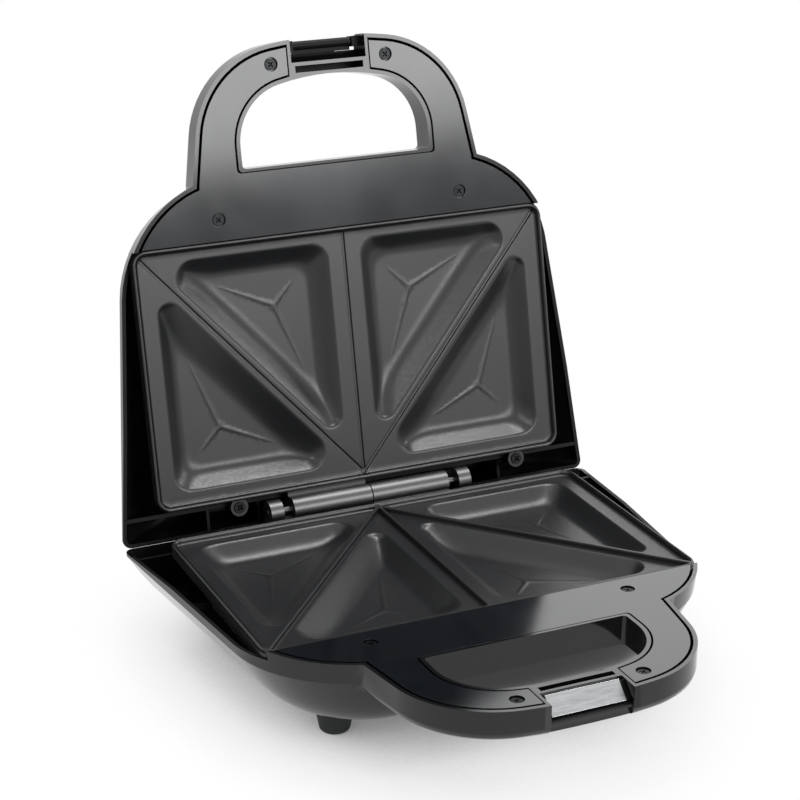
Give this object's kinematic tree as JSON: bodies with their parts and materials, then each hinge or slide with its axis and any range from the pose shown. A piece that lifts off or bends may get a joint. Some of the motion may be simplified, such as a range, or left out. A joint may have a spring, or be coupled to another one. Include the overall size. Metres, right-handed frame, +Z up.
{
  "type": "sandwich_toaster",
  "caption": "Sandwich toaster: two hinged black halves with looped handles, non-stick plates with triangular pockets, and a flip-over latch on the lid handle.",
  "frame": {"origin": "on the floor, under the middle of the opened toaster's bounding box", "axes": "+X to the right seen from the handles, +Y from the handles towards the hinge, +Z up"},
  "size_m": [0.264, 0.3206, 0.2891],
  "materials": {
    "shell_plastic": "polished black moulding",
    "trim_plastic": "finely grained black, semi-matt",
    "screw_steel": "blackened steel, cross recess",
    "nonstick_coating": "non-stick coating on cast aluminium, satin",
    "heater_sheath": "oxidised tube sheath",
    "reflector_sheet": "plain rolled sheet",
    "striker_steel": "bright pressed strip",
    "foot_rubber": "moulded dark grey rubber",
    "thermostat_steel": "plated can with spade tags",
    "fuse_ceramic": "glazed body on tinned leads",
    "terminal_plastic": "natural polyamide",
    "gland_rubber": "soft black grommet",
    "pin_steel": "drawn steel wire",
    "red_lens": "translucent red",
    "green_lens": "translucent green",
    "lamp_glass": "clear neon lamp",
    "lever_plastic": "black moulding"
  },
  "bodies": {
    "base": {"base_shell": "shell_plastic", "base_trim": "trim_plastic", "base_trim_screws": "screw_steel", "base_plate": "nonstick_coating", "base_plate_screws": "screw_steel", "base_heater": "heater_sheath", "base_reflector": "reflector_sheet", "latch_striker": "striker_steel", "feet": "foot_rubber", "thermostat": "thermostat_steel", "thermal_fuse": "fuse_ceramic", "terminal_block": "terminal_plastic", "cord_gland": "gland_rubber", "hinge_pins": "pin_steel"},
    "lid": {"lid_shell": "shell_plastic", "lid_trim": "trim_plastic", "lid_trim_screws": "screw_steel", "lid_plate": "nonstick_coating", "lid_plate_screws": "screw_steel", "lid_heater": "heater_sheath", "lid_reflector": "reflector_sheet", "power_lens": "red_lens", "ready_lens": "green_lens", "indicator_lamps": "lamp_glass", "latch_pin": "pin_steel"},
    "latch": {"latch_lever": "lever_plastic"}
  },
  "joints": [
    {"name": "lid_hinge", "type": "hinge", "parent": "base", "child": "lid", "pos_m": [0, 0.07829, 0.0565], "axis": [1, 0, 0], "range_deg": [0, 102.3]},
    {"name": "latch_pivot", "type": "hinge", "parent": "lid", "child": "latch", "pos_m": [0, 0.13828, 0.28373], "axis": [1, 0, 0], "range_deg": [0, 180]}
  ]
}
